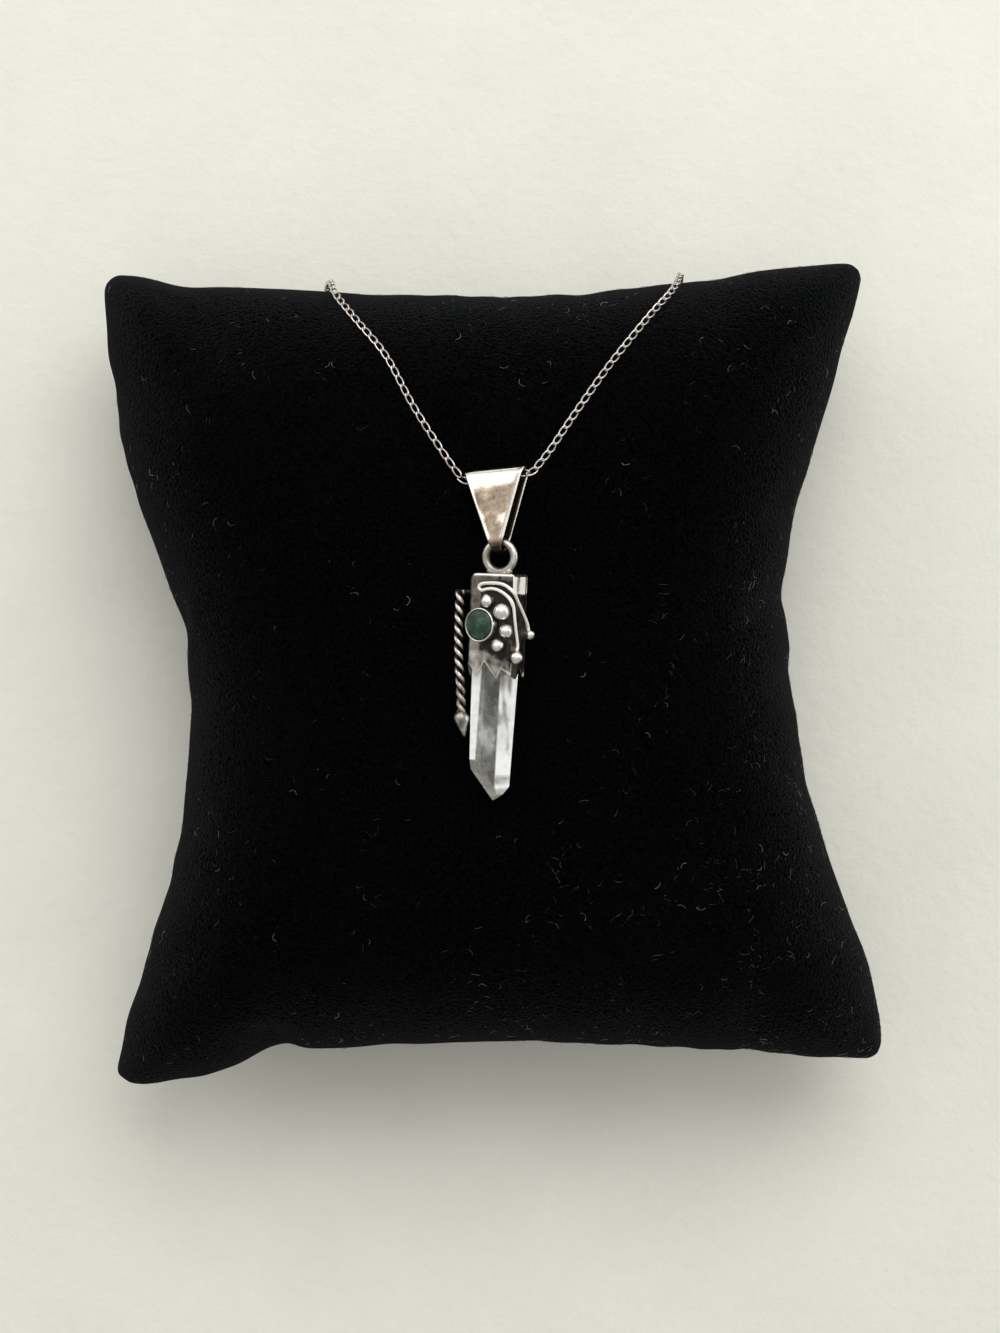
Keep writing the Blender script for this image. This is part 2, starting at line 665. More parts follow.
class Nodes:
    """A Geometry Nodes tree with named inputs, built node by node."""

    def __init__(self, name, **inputs):
        self.tree = bpy.data.node_groups.new(name, "GeometryNodeTree")
        self.tree.interface.new_socket("Geometry", in_out="INPUT", socket_type="NodeSocketGeometry")
        self.ids = {}
        for label, value in inputs.items():
            kind = "NodeSocketInt" if isinstance(value, int) else "NodeSocketFloat"
            socket = self.tree.interface.new_socket(label, in_out="INPUT", socket_type=kind)
            socket.default_value = value
            self.ids[label] = socket.identifier
        self.tree.interface.new_socket("Geometry", in_out="OUTPUT", socket_type="NodeSocketGeometry")
        self.given = self.tree.nodes.new("NodeGroupInput").outputs
        self.values = inputs

    def node(self, kind, inputs=None, **settings):
        return wired(self.tree, kind, inputs, settings).outputs

    def math(self, operation, a, b=0.0):
        return self.node("ShaderNodeMath", {0: a, 1: b}, operation=operation)[0]

    def times(self, a, b):
        return self.math("MULTIPLY", a, b)

    def random(self, low, high, shift=0.0):
        """A random number for each point; shift tells one draw from the next."""
        inputs = {2: low, 3: high, "Seed": self.math("ADD", self.given["Seed"], shift)}
        return self.node("FunctionNodeRandomValue", inputs, data_type="FLOAT")[1]

    def attribute(self, label, kind):
        inputs = {"Name": label}
        return self.node("GeometryNodeInputNamedAttribute", inputs, data_type=kind)["Attribute"]

    def circle(self, points, radius):
        inputs = {"Resolution": points, "Radius": radius}
        return self.node("GeometryNodeCurvePrimitiveCircle", inputs)[0]

    def turned(self, rotation, axis, angle):
        """A rotation followed by a turn about one of its own axes."""
        euler = self.node("ShaderNodeCombineXYZ", {axis: angle})[0]
        turn = self.node("FunctionNodeEulerToRotation", {0: euler})[0]
        inputs = {"Rotation": rotation, "Rotate By": turn}
        return self.node("FunctionNodeRotateRotation", inputs, rotation_space="LOCAL")[0]

    def end(self, instances, material):
        """Realizes the instances, gives them their material and ends the tree."""
        real = self.node("GeometryNodeRealizeInstances", {0: instances})[0]
        dressed = self.node("GeometryNodeSetMaterial", {"Geometry": real, "Material": material})[0]
        self.node("NodeGroupOutput", {0: dressed})

    def run(self, thing):
        """Runs the tree on a piece and leaves its plain mesh there."""
        modifier = thing.modifiers.new(self.tree.name, "NODES")
        modifier.node_group = self.tree
        for label, value in self.values.items():
            modifier[self.ids[label]] = value
        baked(thing)
        shade_smooth(thing.data)
        return thing


# Chain: the route's points as in the part, from the clasp over the pillow's left side to the
# bail, and back over the right side: share of half the pillow's width, share of half its
# length, and height, from 0 on the floor to 1 at the seam and 2 at the pillow's top
CLASP_Y = -0.758 * PILLOW_L / 2
CLASP_D = 5.5
CLASP_WIRE = 1.1
LOOP_D = 2.4
LOOP_WIRE = 0.6
LOOP_X = (CLASP_D + LOOP_D) / 2 - LOOP_WIRE
CHAIN_END = LOOP_X + 0.5625 * LOOP_D
CHAIN_FLOOR = 0.65
LEFT_ROUTE = [
    (-0.522, -0.751, 0.000), (-0.696, -0.623, 0.000), (-0.710, -0.361, 0.000),
    (-0.670, -0.090, 0.000), (-0.676, 0.210, 0.000), (-0.720, 0.480, 0.000),
    (-0.688, 0.675, 0.045), (-0.568, 0.803, 0.120), (-0.477, 0.901, 0.375),
    (-0.439, 0.937, 0.675), (-0.425, 0.946, 1.000), (-0.410, 0.937, 1.286),
    (-0.391, 0.895, 1.495), (-0.337, 0.826, 1.710), (-0.262, 0.736, 1.867),
    (-0.196, 0.619, 1.971), (-0.126, 0.513, 2.019),
]
RIGHT_ROUTE = [
    (0.133, 0.504, 2.190), (0.196, 0.595, 2.057), (0.283, 0.714, 1.910),
    (0.380, 0.832, 1.724), (0.445, 0.907, 1.505), (0.471, 0.956, 1.238),
    (0.477, 0.961, 1.000), (0.487, 0.949, 0.650), (0.522, 0.895, 0.340),
    (0.608, 0.781, 0.095), (0.696, 0.631, 0.037), (0.696, 0.420, 0.000),
    (0.653, 0.121, 0.000), (0.664, -0.210, 0.000), (0.723, -0.480, 0.000),
    (0.683, -0.675, 0.000), (0.474, -0.758, 0.000),
]
BAIL_PASS_Y = BAIL_LOW + BAIL_H - BAIL_SHEET - 0.67
BAIL_PASS_X = (-0.5625 * BAIL_W, -0.4375 * BAIL_W, 0.4375 * BAIL_W, 0.5625 * BAIL_W)
CHAIN_SINK = 0.35
BAIL_REACH = 22
CLASP_REACH = 12
LINK_L = 2.3
LINK_W = 1.16
LINK_WIRE = 0.29
LINK_PITCH = 1.69
LINK_SQUARENESS = 0.77
LINK_TURN = 45
LINK_WOBBLE = 7
LINK_SEGMENTS = 16
LINK_SIDES = 6


def draped(shares):
    """A point of the route, from its shares of the pillow, in millimetres."""
    across, along, rise = shares
    height = SEAM_Z + (rise - 1) * (PILLOW_H - SEAM_Z) if rise > 1 else max(CHAIN_FLOOR, rise * SEAM_Z)
    return across * PILLOW_W / 2, along * PILLOW_L / 2, height


def chain_path():
    """The chain's route in metres, smooth and finely spaced."""
    passing = [ON_BAIL @ Vector((x, BAIL_PASS_Y + bail_skew(x) * 0.9, 0)) for x in BAIL_PASS_X]
    ends = [(side * CHAIN_END, CLASP_Y, CHAIN_FLOOR) for side in (-1, 1)]
    route = [ends[0], *map(draped, LEFT_ROUTE), *passing, *map(draped, RIGHT_ROUTE), ends[1]]
    return [p * MM for p in smooth_path(route, 12)]


def link_places():
    """Evenly spaced links: where each lies, which way it runs and which way it faces."""
    path = np.array(chain_path())
    reach = np.concatenate([[0], np.cumsum(np.linalg.norm(np.diff(path, axis=0), axis=1))])
    count = round(reach[-1] / (LINK_PITCH * MM))
    at = np.linspace(0, reach[-1], count + 1)
    places = np.stack([np.interp(at, reach, path[:, k]) for k in range(3)], -1)
    along = np.gradient(places, axis=0)
    along /= np.linalg.norm(along, axis=1, keepdims=True)
    middle = np.array([0, 0, SEAM_Z]) * MM
    facing = (places - middle) / np.array([PILLOW_W, PILLOW_L, PILLOW_H]) ** 2
    facing -= (facing * along).sum(1, keepdims=True) * along
    facing /= np.linalg.norm(facing, axis=1, keepdims=True)
    # The chain lies in the pile, but hangs free near the bail and the clasp
    bail, clasp = np.array(BAIL_AT) * MM, np.array([0, CLASP_Y, CHAIN_FLOOR]) * MM
    from_bail = np.linalg.norm(places - bail, axis=1) / (BAIL_REACH * MM)
    from_clasp = np.linalg.norm(places - clasp, axis=1) / (CLASP_REACH * MM)
    places -= facing * CHAIN_SINK * MM * ramp(np.minimum(from_bail, from_clasp), 0.7, 1.2)[:, None]
    return places, along, facing


def link_tree(material):
    """A curb link: an oval bent from wire and given a quarter turn along its length."""
    nodes = Nodes("curb links", Length=LINK_L * MM, Width=LINK_W * MM, Wire=LINK_WIRE * MM,
                  Turn=math.radians(LINK_TURN), Wobble=math.radians(LINK_WOBBLE),
                  Squareness=LINK_SQUARENESS, Segments=LINK_SEGMENTS, Sides=LINK_SIDES, Seed=7)
    given = nodes.given
    half_l = nodes.times(nodes.math("SUBTRACT", given["Length"], given["Wire"]), 0.5)
    half_w = nodes.times(nodes.math("SUBTRACT", given["Width"], given["Wire"]), 0.5)
    oval = nodes.circle(given["Segments"], 1.0)
    at = nodes.node("ShaderNodeSeparateXYZ", {0: nodes.node("GeometryNodeInputPosition")[0]})
    powered = lambda v: nodes.math("POWER", nodes.math("ABSOLUTE", v), given["Squareness"])
    squared = lambda v: nodes.times(nodes.math("SIGN", v), powered(v))
    x = nodes.times(squared(at["X"]), half_l)
    y = nodes.times(squared(at["Y"]), half_w)
    turn = nodes.times(nodes.math("DIVIDE", x, half_l), given["Turn"])
    bent = nodes.node("ShaderNodeCombineXYZ", {
        "X": x,
        "Y": nodes.times(y, nodes.math("COSINE", turn)),
        "Z": nodes.times(y, nodes.math("SINE", turn)),
    })[0]
    oval = nodes.node("GeometryNodeSetPosition", {"Geometry": oval, "Position": bent})[0]
    wire = nodes.circle(given["Sides"], nodes.times(given["Wire"], 0.5))
    link = nodes.node("GeometryNodeCurveToMesh", {"Curve": oval, "Profile Curve": wire})[0]
    along, facing = (nodes.attribute(label, "FLOAT_VECTOR") for label in ("along", "facing"))
    run = nodes.node("FunctionNodeAlignRotationToVector", {"Vector": along}, axis="X")[0]
    face = nodes.node("FunctionNodeAlignRotationToVector", {"Rotation": run, "Vector": facing},
                      axis="Z", pivot_axis="X")[0]
    wobble = nodes.random(nodes.times(given["Wobble"], -1.0), given["Wobble"])
    places = {"Points": given["Geometry"], "Instance": link, "Rotation": nodes.turned(face, "X", wobble)}
    nodes.end(nodes.node("GeometryNodeInstanceOnPoints", places)[0], material)
    return nodes


def make_chain(material):
    """The curb chain: one link on each place along the route, in one mesh."""
    places, along, facing = link_places()
    line = Mesh()
    line.add(places, [])
    chain = piece("curb_chain", line)
    for label, values in (("along", along), ("facing", facing)):
        held = chain.data.attributes.new(label, "FLOAT_VECTOR", "POINT")
        held.data.foreach_set("vector", values.astype(np.float32).ravel())
    link_tree(material).run(chain)
    return hand_over(chain, "chain_silver", "neck_chain")


def make_clasp(material):
    """The plain hidden ring that fastens the chain, with a small loop at each side."""
    ring = Mesh()
    hoop = lambda d, wire, x: ring.rings([
        [
            (x + math.cos(a) * (d - wire + wire * math.cos(b)) / 2,
             math.sin(a) * (d - wire + wire * math.cos(b)) / 2, wire / 2 * math.sin(b))
            for b in (math.tau * k / 12 for k in range(12))
        ]
        for a in (math.tau * i / 40 for i in range(40))
    ], tarnish=0.25, closed=True)
    hoop(CLASP_D, CLASP_WIRE, 0)
    for side in (-1, 1):
        hoop(LOOP_D, LOOP_WIRE, side * LOOP_X)
    place = TO_METRES @ Matrix.Translation((0, CLASP_Y, CHAIN_FLOOR))
    return dressed("clasp_ring", ring, place, material, "chain_silver", "clasp")


# Bail: steps along each straight run and round each bend, and a bright spot worn on its front
BAIL_STRAIGHT = 16
BAIL_BEND = 14
BAIL_SPOT = (1.25, 3.2)


def bail_skew(x):
    """How far the hand-cut bail's top edge stands above its middle at x."""
    return BAIL_SKEW * (BAIL_W / 2 - x)


def bail_half(y):
    """Half the strip's width at a height, which is 0 at the ring's wire."""
    if y < 0:
        return (BAIL_FOOT_W + (BAIL_NECK_W - BAIL_FOOT_W) * y / BAIL_LOW) / 2
    return (BAIL_FOOT_W + (BAIL_W - BAIL_FOOT_W) * y / (BAIL_LOW + BAIL_H)) / 2


def make_bail(material):
    """A tapered strip folded at its top and round the ring, with softly rolled edges."""
    radius = (BAIL_ROOM + BAIL_SHEET) / 2
    foot, head = BAIL_LOW + radius + BAIL_SHEET / 2, BAIL_LOW + BAIL_H - radius - BAIL_SHEET / 2
    # The strip's middle line: up the front, over the chain, down the back and under the ring
    line = []
    for start, end, turned in ((foot, head, 0), (head, foot, math.pi)):
        for i in range(BAIL_STRAIGHT):
            line.append((start + (end - start) * i / BAIL_STRAIGHT, radius * math.cos(turned), turned))
        for i in range(BAIL_BEND):
            a = turned + math.pi * i / BAIL_BEND
            line.append((end + radius * math.sin(a), radius * math.cos(a), a))
    # Half of the strip's section: share of the half width, share of the half thickness
    half = [(0.0, 1.0), (0.3, 1.0), (0.6, 0.98), (0.8, 0.93), (0.93, 0.78), (0.985, 0.5), (1.0, 0.0)]
    section = half + [(a, -b) for a, b in half[-2::-1]]
    section += [(-a, b) for a, b in section[-2:0:-1]]
    rings, worn = [], []
    for y, z, a in line:
        out = Vector((0, math.sin(a), math.cos(a)))
        share = (y - BAIL_LOW) / BAIL_H
        half_w = bail_half(y)
        rings.append([
            Vector((p * half_w, y + bail_skew(p * half_w) * share, z)) + out * q * BAIL_SHEET / 2
            for p, q in section
        ])

    def tarnish(p):
        """A dull field with a bright rim, top and spot, and dark inside and at the foot."""
        share = (p.y - BAIL_LOW) / BAIL_H
        rim = bail_half(p.y) - abs(p.x)
        blotch = noise.noise(p * 0.55 + Vector((3, 0, 0))) + 0.6 * noise.noise(p * 1.7)
        spot = math.hypot(p.x - BAIL_SPOT[0], (p.y - BAIL_SPOT[1]) * 0.8)
        field = ramp(rim, 0.35, 0.8) * (1 - ramp(share, 0.72, 0.86))
        worn = field * (0.66 + 0.2 * blotch) * (0.25 + 0.75 * ramp(spot, 0.45, 0.95))
        within = (abs(p.z) < radius - 0.05 or p.z < 0) and share < 0.96
        foot_dark = 0.82 * (1 - ramp(share, 0.1, 0.17))
        return float(max(worn, foot_dark, 1.3 if within and rim > 0.12 else 0))

    strip = Mesh()
    strip.rings(rings, tarnish, closed=True)
    return dressed("folded_bail", strip, TO_METRES @ ON_BAIL, material, "bail_silver", "bail")


# Cap: teeth of the lip, one list for each wall going round from the front, as in the part:
# share of the wall's width from its middle, and share of the tooth's length
LIP = [
    [(-0.50, 0.00), (-0.26, 0.88), (-0.10, 0.00), (0.19, 1.00), (0.29, 0.40), (0.50, 0.75)],
    [(-0.50, 0.75), (-0.10, 1.00), (0.26, 0.20), (0.50, 0.90)],
    [(-0.50, 0.90), (-0.30, 0.05), (-0.06, 0.95), (0.12, 0.05), (0.34, 0.95), (0.50, 0.20)],
    [(-0.50, 0.20), (-0.22, 1.00), (0.05, 0.05), (0.30, 0.95), (0.50, 0.00)],
]
# Hairpin wire, inner ball, granules, bezel and twist, in the part's shares of the cap
HAIRPIN = [
    (1.520, 0.687), (1.490, 0.604), (1.351, 0.527), (1.071, 0.413), (0.736, 0.288),
    (0.520, 0.205), (0.380, 0.139), (0.222, 0.111), (-0.010, 0.108), (-0.197, 0.121),
    (-0.265, 0.160), (-0.200, 0.194), (-0.080, 0.179), (0.065, 0.171), (0.230, 0.194),
    (0.389, 0.246), (0.487, 0.299), (0.530, 0.375), (0.620, 0.505), (0.703, 0.618),
    (0.822, 0.755), (0.860, 0.832), (0.740, 0.900),
]
INNER_BALL = (0.650, 0.935)
GRANULES = [(-0.04, 0.310, 1.9), (0.31, 0.424, 2.5), (0.42, 0.641, 2.1), (0.24, 0.808, 1.9)]
GRANULE_STAND = 0.6
BEZEL = (-0.18, 0.585)
TWIST_TOP = (-1.395, 0.217, 1.04)
TWIST_LEAN = (2.1, 1.71)


def round_cap(share, down, stand):
    """A place on the cap's front, or past its right edge, standing off the metal."""
    if share <= 0.5:
        return Vector((share * CAP_W, -down * CAP_H, CAP_D / 2 + stand))
    return Vector((CAP_W / 2 + stand, -down * CAP_H, (1 - share) * CAP_D))


def lip_at(wall, share):
    rows = LIP[wall]
    for (a, low), (b, high) in zip(rows, rows[1:]):
        if share <= b:
            return low + (high - low) * (share - a) / (b - a)
    return rows[-1][1]


def cap_stations():
    """Places round the cap: wall, share of the wall, and the outward direction's angle."""
    stations = []
    for wall in range(4):
        width = CAP_W if wall % 2 == 0 else CAP_D
        edge = 0.5 - CAP_EDGE_R / width
        marks = sorted({-edge, edge, *(a for a, _ in LIP[wall] if abs(a) < edge)})
        for a, b in zip(marks, marks[1:]):
            steps = max(1, math.ceil((b - a) * width / 0.22))
            stations += [(wall, a + (b - a) * k / steps, 0.0) for k in range(steps)]
        stations.append((wall, edge, 0.0))
        stations += [(wall, edge, 90 * k / 6) for k in range(1, 6)]
    return stations


def cap_point(station, inset):
    """A place on the cap's wall seen from above, set in by inset, and its lip's tooth."""
    wall, share, corner = station
    width, depth = (CAP_W, CAP_D) if wall % 2 == 0 else (CAP_D, CAP_W)
    edge = 0.5 - CAP_EDGE_R / width
    across = share * width
    out = depth / 2 - inset
    tooth = lip_at(wall, share)
    if corner:
        a = math.radians(corner)
        r = CAP_EDGE_R - inset
        across = edge * width + r * math.sin(a)
        out = depth / 2 - CAP_EDGE_R + r * math.cos(a)
        tooth = min(lip_at(wall, 0.5), lip_at((wall + 1) % 4, -0.5))
        near = lip_at(wall, edge) if corner < 45 else lip_at((wall + 1) % 4, -0.5 + CAP_EDGE_R / depth)
        tooth = tooth + (near - tooth) * abs(corner - 45) / 45
    turn = turning("Y", 90 * wall)
    spot = turn @ Vector((across, 0, out))
    return spot.x, spot.z, tooth


def shoulder(x):
    """How far the cap's top drops at x, where its left shoulder rounds off."""
    into = x + CAP_W / 2
    if into >= SHOULDER_R:
        return 0.0
    return SHOULDER_R - math.sqrt(max(0, SHOULDER_R**2 - (SHOULDER_R - into) ** 2))


def front_tarnish(p, down, across, grain):
    """The cap's front: a grey strip at the left, a dark field, a mottled lip and bright rims."""
    above_lip = p.y + CAP_H + lip_at(0, max(-0.5, min(across, 0.5))) * TOOTH_L
    rim = float(1 - ramp(above_lip, 0.14, 0.4))
    strip = 0.82 - 0.2 * float(ramp(down, 0.25, 0.95)) + 0.08 * grain
    strip -= 0.5 * float(1 - ramp(across, -0.475, -0.45)) * float(1 - ramp(down, 0.3, 0.45))
    field = 1.05 * float(ramp(across, -0.3 + 0.04 * grain, -0.2))
    field -= 0.35 * float(1 - ramp(down, 0.06, 0.1)) * (0.6 + grain)
    value = max(strip, field)
    slope = 0.09 * float(ramp(across, -0.05, 0.3))
    lip = float(ramp(down, 0.86 + slope + 0.03 * grain, 0.93 + slope))
    left = float(1 - ramp(across, -0.22, -0.12))
    value += (0.68 - 0.3 * left + 0.45 * grain - value) * lip
    rolled = float(1 - ramp(down, 0.012, 0.03)) * float(ramp(across, -0.5, -0.42))
    return value - (value + 0.3) * 0.9 * max(rolled, rim)


def right_tarnish(p, down, grain):
    """The cap's right side: bright and streaked at the top, dark below, and a worn lip."""
    back = float(1 - ramp(p.z, -CAP_D / 2 + 0.4, -CAP_D / 2 + 0.65))
    top = float(1 - ramp(down, 0.22, 0.24)) * float(ramp(down, 0.015, 0.03))
    streak = float(ramp(p.z, -0.1, 0.5) * (1 - ramp(p.z, 1.1, 1.5)))
    streak = 0.65 * streak + 1.1 * float(ramp(p.z, -2.35, -2.2) * (1 - ramp(p.z, -1.9, -1.75)))
    value = min(1.0, 1.0 - 1.9 * top + top * (0.4 * grain + streak), 1.0 - 1.5 * back)
    lip = float(ramp(down, 0.8 + 0.05 * grain, 0.93)) * float(ramp(p.z, 0, 1.5))
    return value + (0.42 + 0.35 * grain - value) * lip * (1 - top)


def cap_tarnish(p):
    """How dark the cap's sheet is at a place, side by side."""
    down = -p.y / CAP_H
    grain = noise.noise(p * 0.8) + 0.6 * noise.noise(p * 2.1 + Vector((5, 1, 2)))
    if p.z > CAP_D / 2 - 0.55 * CAP_EDGE_R and p.x < CAP_W / 2 - 0.02:
        return front_tarnish(p, down, p.x / CAP_W, grain)
    if p.x > CAP_W / 2 - CAP_EDGE_R:
        return right_tarnish(p, down, grain)
    if p.x < -CAP_W / 2 + CAP_EDGE_R:
        return float(0.5 + 0.2 * ramp(down, 0.1, 0.5) + 0.12 * grain)
    return float(0.45 + 0.2 * grain)


def cap_sheet(cap):
    """The box of bent sheet: rounded top, walls with teeth, and the hollow inside."""
    stations = cap_stations()
    rings = []
    outer = [cap_point(s, 0) for s in stations]
    shrink = lambda k: [Vector((x * k, -shoulder(x * k), z * k)) for x, z, _ in outer]
    rings += [shrink(k) for k in (0.02, 0.35, 0.7)]
    for a in (90, 60, 30, 0):
        inset = CAP_TOP_ROUND * (1 - math.cos(math.radians(a)))
        drop = CAP_TOP_ROUND * (1 - math.sin(math.radians(a)))
        ring = []
        for station in stations:
            x, z, _ = cap_point(station, inset)
            ring.append(Vector((x, -shoulder(x) - drop, z)))
        rings.append(ring)
    rows = 58
    for j in range(1, rows + 1):
        share = j / rows
        ring = []
        for x, z, tooth in outer:
            top = -shoulder(x) - CAP_TOP_ROUND
            ring.append(Vector((x, top + (-CAP_H - tooth * TOOTH_L + 0.06 - top) * share, z)))
        rings.append(ring)
    rings.append([
        Vector((x, -CAP_H - tooth * TOOTH_L, z))
        for x, z, tooth in (cap_point(s, CAP_WALL * 0.35) for s in stations)
    ])
    inner = [cap_point(s, CAP_WALL) for s in stations]
    rings.append([Vector((x, -CAP_H - tooth * TOOTH_L + 0.05, z)) for x, z, tooth in inner])
    for share in (0.8, 0.6, 0.4, 0.2, 0.0):
        ring = []
        for x, z, tooth in inner:
            top = -shoulder(x) - CAP_WALL
            ring.append(Vector((x, top + (-CAP_H - tooth * TOOTH_L - top) * share, z)))
        rings.append(ring)
    rings.append([Vector((x * 0.05, -CAP_WALL - shoulder(x * 0.05), z * 0.05)) for x, z, _ in inner])
    cap.rings(rings, cap_tarnish)


def raised(height, low=0.12, dark=0.85):
    """Tarnish that gathers at the foot of what stands on the sheet."""
    def value(p):
        off = max(p.z - CAP_D / 2, p.x - CAP_W / 2)
        return dark + (low - dark) * float(ramp(off / height, 0.02, 0.4))
    return value


def cap_wirework(cap):
    """The hairpin wire with its two balls, and the granules, each with a little solder."""
    route = [round_cap(a, b, HAIRPIN_WIRE / 2 - 0.1) for a, b in HAIRPIN]
    worn = raised(HAIRPIN_WIRE, -0.25, 0.6)
    bright = lambda p: worn(p) - 0.4 * float(ramp(p.x, CAP_W / 2 - 0.8, CAP_W / 2))
    cap.tube(smooth_path(route, 5), HAIRPIN_WIRE, 12, bright)
    balls = [(*HAIRPIN[0], OUTER_BALL_D), (*INNER_BALL, INNER_BALL_D), *GRANULES]
    for a, b, d in balls:
        at = round_cap(a, b, GRANULE_STAND * d / 2)
        cap.ball(at, d, raised(d * 0.8, -0.08, 0.9), lumps=0.07)
        foot = round_cap(a, b, 0.0)
        squash = (1, 1, 0.22) if a <= 0.5 else (0.22, 1, 1)
        cap.ball(foot, d * 0.98, 0.95, squash, detail=2)


def cap_ring(cap):
    """The soldered ring, turned a little, with its two feet of solder."""
    turn = Matrix.Translation((0, RING_Y, 0)) @ turning("Y", RING_TURN)
    circle = lambda a, r: Vector((r * math.sin(a), r * math.cos(a), 0))
    rings = []
    for i in range(48):
        a = math.tau * i / 48
        out = circle(a, 1)
        rings.append([
            turn @ (circle(a, RING_R) + RING_WIRE / 2 * (math.cos(b) * out + Vector((0, 0, math.sin(b)))))
            for b in (math.tau * k / 14 for k in range(14))
        ])
    dark = lambda p: 0.36 + 0.5 * float(1 - ramp((p - turn.translation).length, 1.8, 2.4))
    cap.rings(rings, dark, closed=True)
    for side in (-1, 1):
        foot = turn @ Vector((side * 0.62 * RING_R, -0.95 * RING_R, 0))
        cap.ball(foot, RING_WIRE * 1.05, 0.45, (1.1, 0.85, 1.0), detail=2)


def cap_bezel(cap):
    """The cup round the green stone, with a thin bright rim leaning in on the stone."""
    outer = STONE_D / 2 + STONE_GAP + BEZEL_WALL
    inner = STONE_D / 2 + STONE_GAP
    place = Matrix.Translation(round_cap(*BEZEL, 0)) @ turning("Y", -BEZEL_TILT)
    profile = [(0, -0.6), (outer + 0.12, -0.6), (outer + 0.1, 0.0), (outer, 0.25), (outer, BEZEL_H - 0.1),
               (outer - 0.05, BEZEL_H - 0.02), (inner + 0.1, BEZEL_H), (inner, BEZEL_H - 0.06),
               (inner, SEAT_Z), (0, SEAT_Z)]
    undo = place.inverted()
    def dark(p):
        local = undo @ p
        left = float(1 - ramp(local.x, -2.4, -0.5))
        return 0.75 - (0.65 - 0.35 * left) * float(ramp(local.z, 0.2, BEZEL_H - 0.15))

    cap.lathe(profile, 56, place, dark)


def cap_twist(cap):
    """Two wires twisted about each other, ending in a pointed drop."""
    top = Vector((TWIST_TOP[0] * CAP_W / 2, -TWIST_TOP[1] * CAP_H, TWIST_TOP[2] * CAP_D / 2))
    place = Matrix.Translation(top) @ turning("Z", TWIST_LEAN[1]) @ turning("X", TWIST_LEAN[0])
    undo = place.inverted()
    reach = TWIST_WIRE * 0.44
    bow = lambda share: TWIST_BOW * math.sin(math.pi * min(1, max(0, share) * 1.15))

    def dark(p):
        """Oxide in the grooves, worn off the crests, and less of it lower down."""
        local = undo @ p
        crest = float(ramp(math.hypot(local.x + bow(-local.y / TWIST_L), local.z), 0.58, 0.75))
        lower = float(ramp(-local.y / TWIST_L, 0.6, 0.8))
        return 1.2 - (1.2 - 0.7 * lower) * crest - 0.3 * lower

    steps = math.floor(TWIST_L / TWIST_PITCH * TWIST_STEPS)
    for strand in (0, math.pi):
        path = []
        for i in range(steps + 1):
            a = strand - math.tau * i / TWIST_STEPS
            across = reach * math.cos(a) - bow(i / steps)
            path.append(place @ Vector((across, -i * TWIST_PITCH / TWIST_STEPS, reach * math.sin(a))))
        cap.tube(path, TWIST_WIRE, 12, dark)
        cap.ball(path[0], TWIST_WIRE, dark, detail=2)
    centre = -TWIST_L - DROP_D / 4
    pod = [(0.0, 0.0), (0.5, 0.10), (0.86, 0.34), (1.0, 0.62), (0.93, 0.9), (0.7, 1.25), (0.42, 1.65),
           (0.16, 2.05), (0.0, 2.15)]
    down = place @ Matrix.Translation((0, centre + DROP_D / 2, 0)) @ turning("X", 90)
    long = (DROP_D / 2 + DROP_L) / 2.15
    worn = lambda p: 0.52 + 0.6 * noise.noise(p * 1.3)
    first = len(cap.points)
    cap.lathe([(r * DROP_D / 2, h * long) for r, h in pod], 28, down, worn)
    for i in range(first, len(cap.points)):
        below = max(0.0, down.translation.y - cap.points[i].y)
        cap.points[i] += Vector((0.045 * below**2, -0.04 * below**2, 0))
    wall = Vector((-CAP_W / 2 + CAP_EDGE_R, top.y, CAP_D / 2 - CAP_EDGE_R))
    cap.tube([top, top.lerp(wall, 0.5), wall], TWIST_WIRE * 0.8, 12, 1.2)


def make_cap(material):
    """The cap with all that is soldered to it."""
    cap = Mesh()
    for part in (cap_sheet, cap_ring, cap_bezel, cap_wirework, cap_twist):
        part(cap)
    return dressed("toothed_cap", cap, TO_METRES @ ON_PENDANT, material, "cap_silver", "cap_setting")


# Stones
WORN_EDGE = 0.05
QUARTZ_CELL = 0.9


def make_green_stone():
    """A low cabochon with a softly rounded girdle."""
    thick = BEZEL_H - SEAT_Z + STONE_DOME - STONE_GAP
    side = BEZEL_H - SEAT_Z - STONE_GAP
    dome = ((STONE_D / 2) ** 2 + STONE_DOME**2) / (2 * STONE_DOME)
    profile = [(0, 0), (STONE_D / 2 - 0.08, 0), (STONE_D / 2, 0.08), (STONE_D / 2, side - 0.05)]
    widest = math.asin((STONE_D / 2 - 0.04) / dome)
    for i in range(10):
        a = widest * (1 - i / 10)
        profile.append((dome * math.sin(a), thick - dome + dome * math.cos(a)))
    profile.append((0, thick))
    place = Matrix.Translation(round_cap(*BEZEL, 0)) @ turning("Y", -BEZEL_TILT)
    place = place @ Matrix.Translation((0, 0, SEAT_Z + STONE_GAP))
    shape = Mesh()
    shape.lathe(profile, 56, place)
    laid_in = TO_METRES @ ON_PENDANT
    return dressed("green_cabochon", shape, laid_in, green_mineral(), "green_stone", "green_stone")


